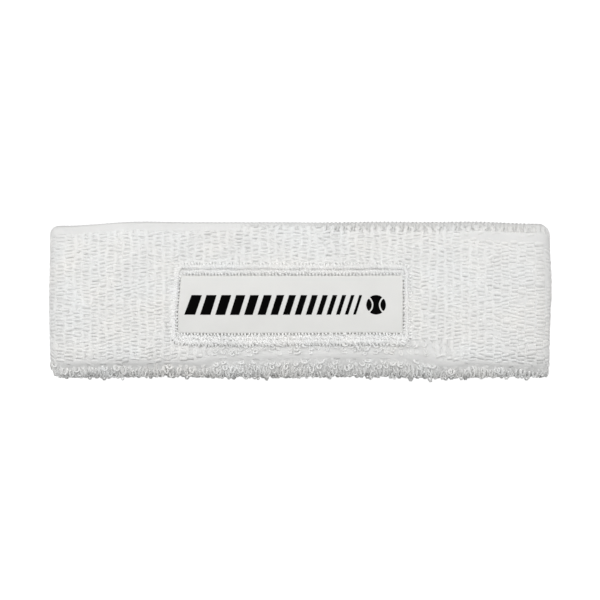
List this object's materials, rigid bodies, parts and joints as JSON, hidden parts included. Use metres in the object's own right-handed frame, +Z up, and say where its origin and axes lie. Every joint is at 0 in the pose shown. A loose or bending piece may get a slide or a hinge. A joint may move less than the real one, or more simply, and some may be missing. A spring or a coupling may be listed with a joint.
{
  "type": "sports headband",
  "caption": "Flat-lying white terry headband: a doubled knitted loop with laid-in elastic threads, a closing seam and a sewn, bound label on its front.",
  "frame": {"origin": "under the middle of the flat-lying band, on the surface it lies on", "axes": "+X from side fold to side fold, +Y across the band from its folded edge to its seamed edge, +Z up through the label side"},
  "size_m": [0.18, 0.055, 0.0177],
  "materials": {
    "terry": "white cotton terry, matt, looped pile with visible knit columns",
    "sewing_thread": "white polyester sewing thread, slight lustre",
    "elastic": "white covered elastic thread",
    "label_backing": "white non-woven interfacing, matt",
    "label_face": "smooth off-white woven satin with a plain printed pattern in black",
    "label_binding": "white corded binding, slight lustre"
  },
  "bodies": {
    "root": {"terry_tube": "terry", "closing_seam": "sewing_thread", "elastic_thread_01": "elastic", "elastic_thread_02": "elastic", "elastic_thread_03": "elastic", "elastic_thread_04": "elastic", "elastic_thread_05": "elastic", "elastic_thread_06": "elastic", "elastic_thread_07": "elastic", "elastic_thread_08": "elastic", "elastic_thread_09": "elastic", "elastic_thread_10": "elastic", "elastic_thread_11": "elastic", "elastic_thread_12": "elastic", "label_backing": "label_backing", "label_panel": "label_face", "label_binding": "label_binding", "label_stitch_outer": "sewing_thread", "label_stitch_inner": "sewing_thread"}
  },
  "joints": []
}
